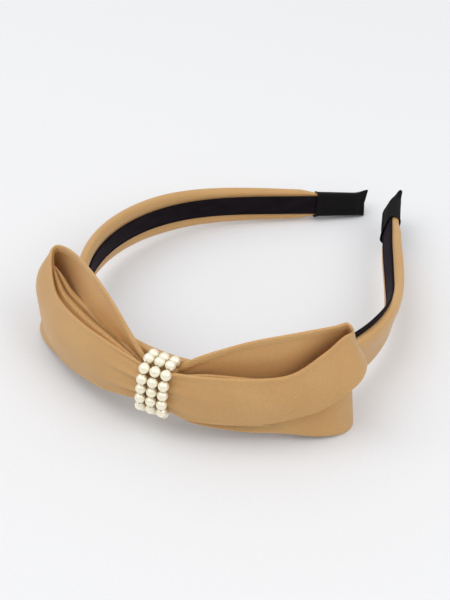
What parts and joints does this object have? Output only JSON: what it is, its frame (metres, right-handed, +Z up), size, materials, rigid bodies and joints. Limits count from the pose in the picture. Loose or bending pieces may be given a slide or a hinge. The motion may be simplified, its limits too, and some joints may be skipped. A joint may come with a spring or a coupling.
{
  "type": "knotted headband",
  "caption": "C-shaped sprung headband covered in satin, with a soft looped bow gathered under rows of pearl beads, a black inner ribbon and black wrapped tips.",
  "frame": {"origin": "middle of the bounding box, on the surface that the headband stands on", "axes": "+Z up, +Y from the bow towards the tips, +X towards the right arm as the wearer of the picture's view sees it"},
  "size_m": [0.1244, 0.1683, 0.0425],
  "materials": {
    "satin": "champagne satin weave, soft sheen",
    "lining_ribbon": "black velvet-like ribbon, matt",
    "tip_ribbon": "black ribbed ribbon, matt",
    "core_plastic": "moulded spring strip",
    "pearl": "ivory imitation pearl, glossy",
    "thread": "cream thread"
  },
  "bodies": {
    "crown": {"core_crown": "core_plastic", "cover_crown": "satin", "lining_crown": "lining_ribbon", "bow_loop_left": "satin", "bow_loop_right": "satin", "bow_centre": "satin", "thread_1": "thread", "thread_2": "thread", "thread_3": "thread", "pearl_1_1": "pearl", "pearl_1_2": "pearl", "pearl_1_3": "pearl", "pearl_1_4": "pearl", "pearl_1_5": "pearl", "pearl_1_6": "pearl", "pearl_1_7": "pearl", "pearl_1_8": "pearl", "pearl_1_9": "pearl", "pearl_2_1": "pearl", "pearl_2_2": "pearl", "pearl_2_3": "pearl", "pearl_2_4": "pearl", "pearl_2_5": "pearl", "pearl_2_6": "pearl", "pearl_2_7": "pearl", "pearl_2_8": "pearl", "pearl_2_9": "pearl", "pearl_3_1": "pearl", "pearl_3_2": "pearl", "pearl_3_3": "pearl", "pearl_3_4": "pearl", "pearl_3_5": "pearl", "pearl_3_6": "pearl", "pearl_3_7": "pearl", "pearl_3_8": "pearl", "pearl_3_9": "pearl"},
    "left_arm": {"core_left": "core_plastic", "cover_left": "satin", "lining_left": "lining_ribbon", "tip_wrap_left": "tip_ribbon"},
    "right_arm": {"core_right": "core_plastic", "cover_right": "satin", "lining_right": "lining_ribbon", "tip_wrap_right": "tip_ribbon"}
  },
  "joints": [
    {"name": "left_arm_flex", "type": "hinge", "parent": "crown", "child": "left_arm", "pos_m": [-0.05256, -0.04162, 0.01541], "axis": [0, 0.0724, 0.9974], "range_deg": [-1, 26], "stiffness_Nm_per_rad": 0.6},
    {"name": "right_arm_flex", "type": "hinge", "parent": "crown", "child": "right_arm", "pos_m": [0.04404, -0.04158, 0.01595], "axis": [0, -0.0724, -0.9974], "range_deg": [-1, 26], "stiffness_Nm_per_rad": 0.6, "deforming": ["bow_loop_right"]}
  ]
}
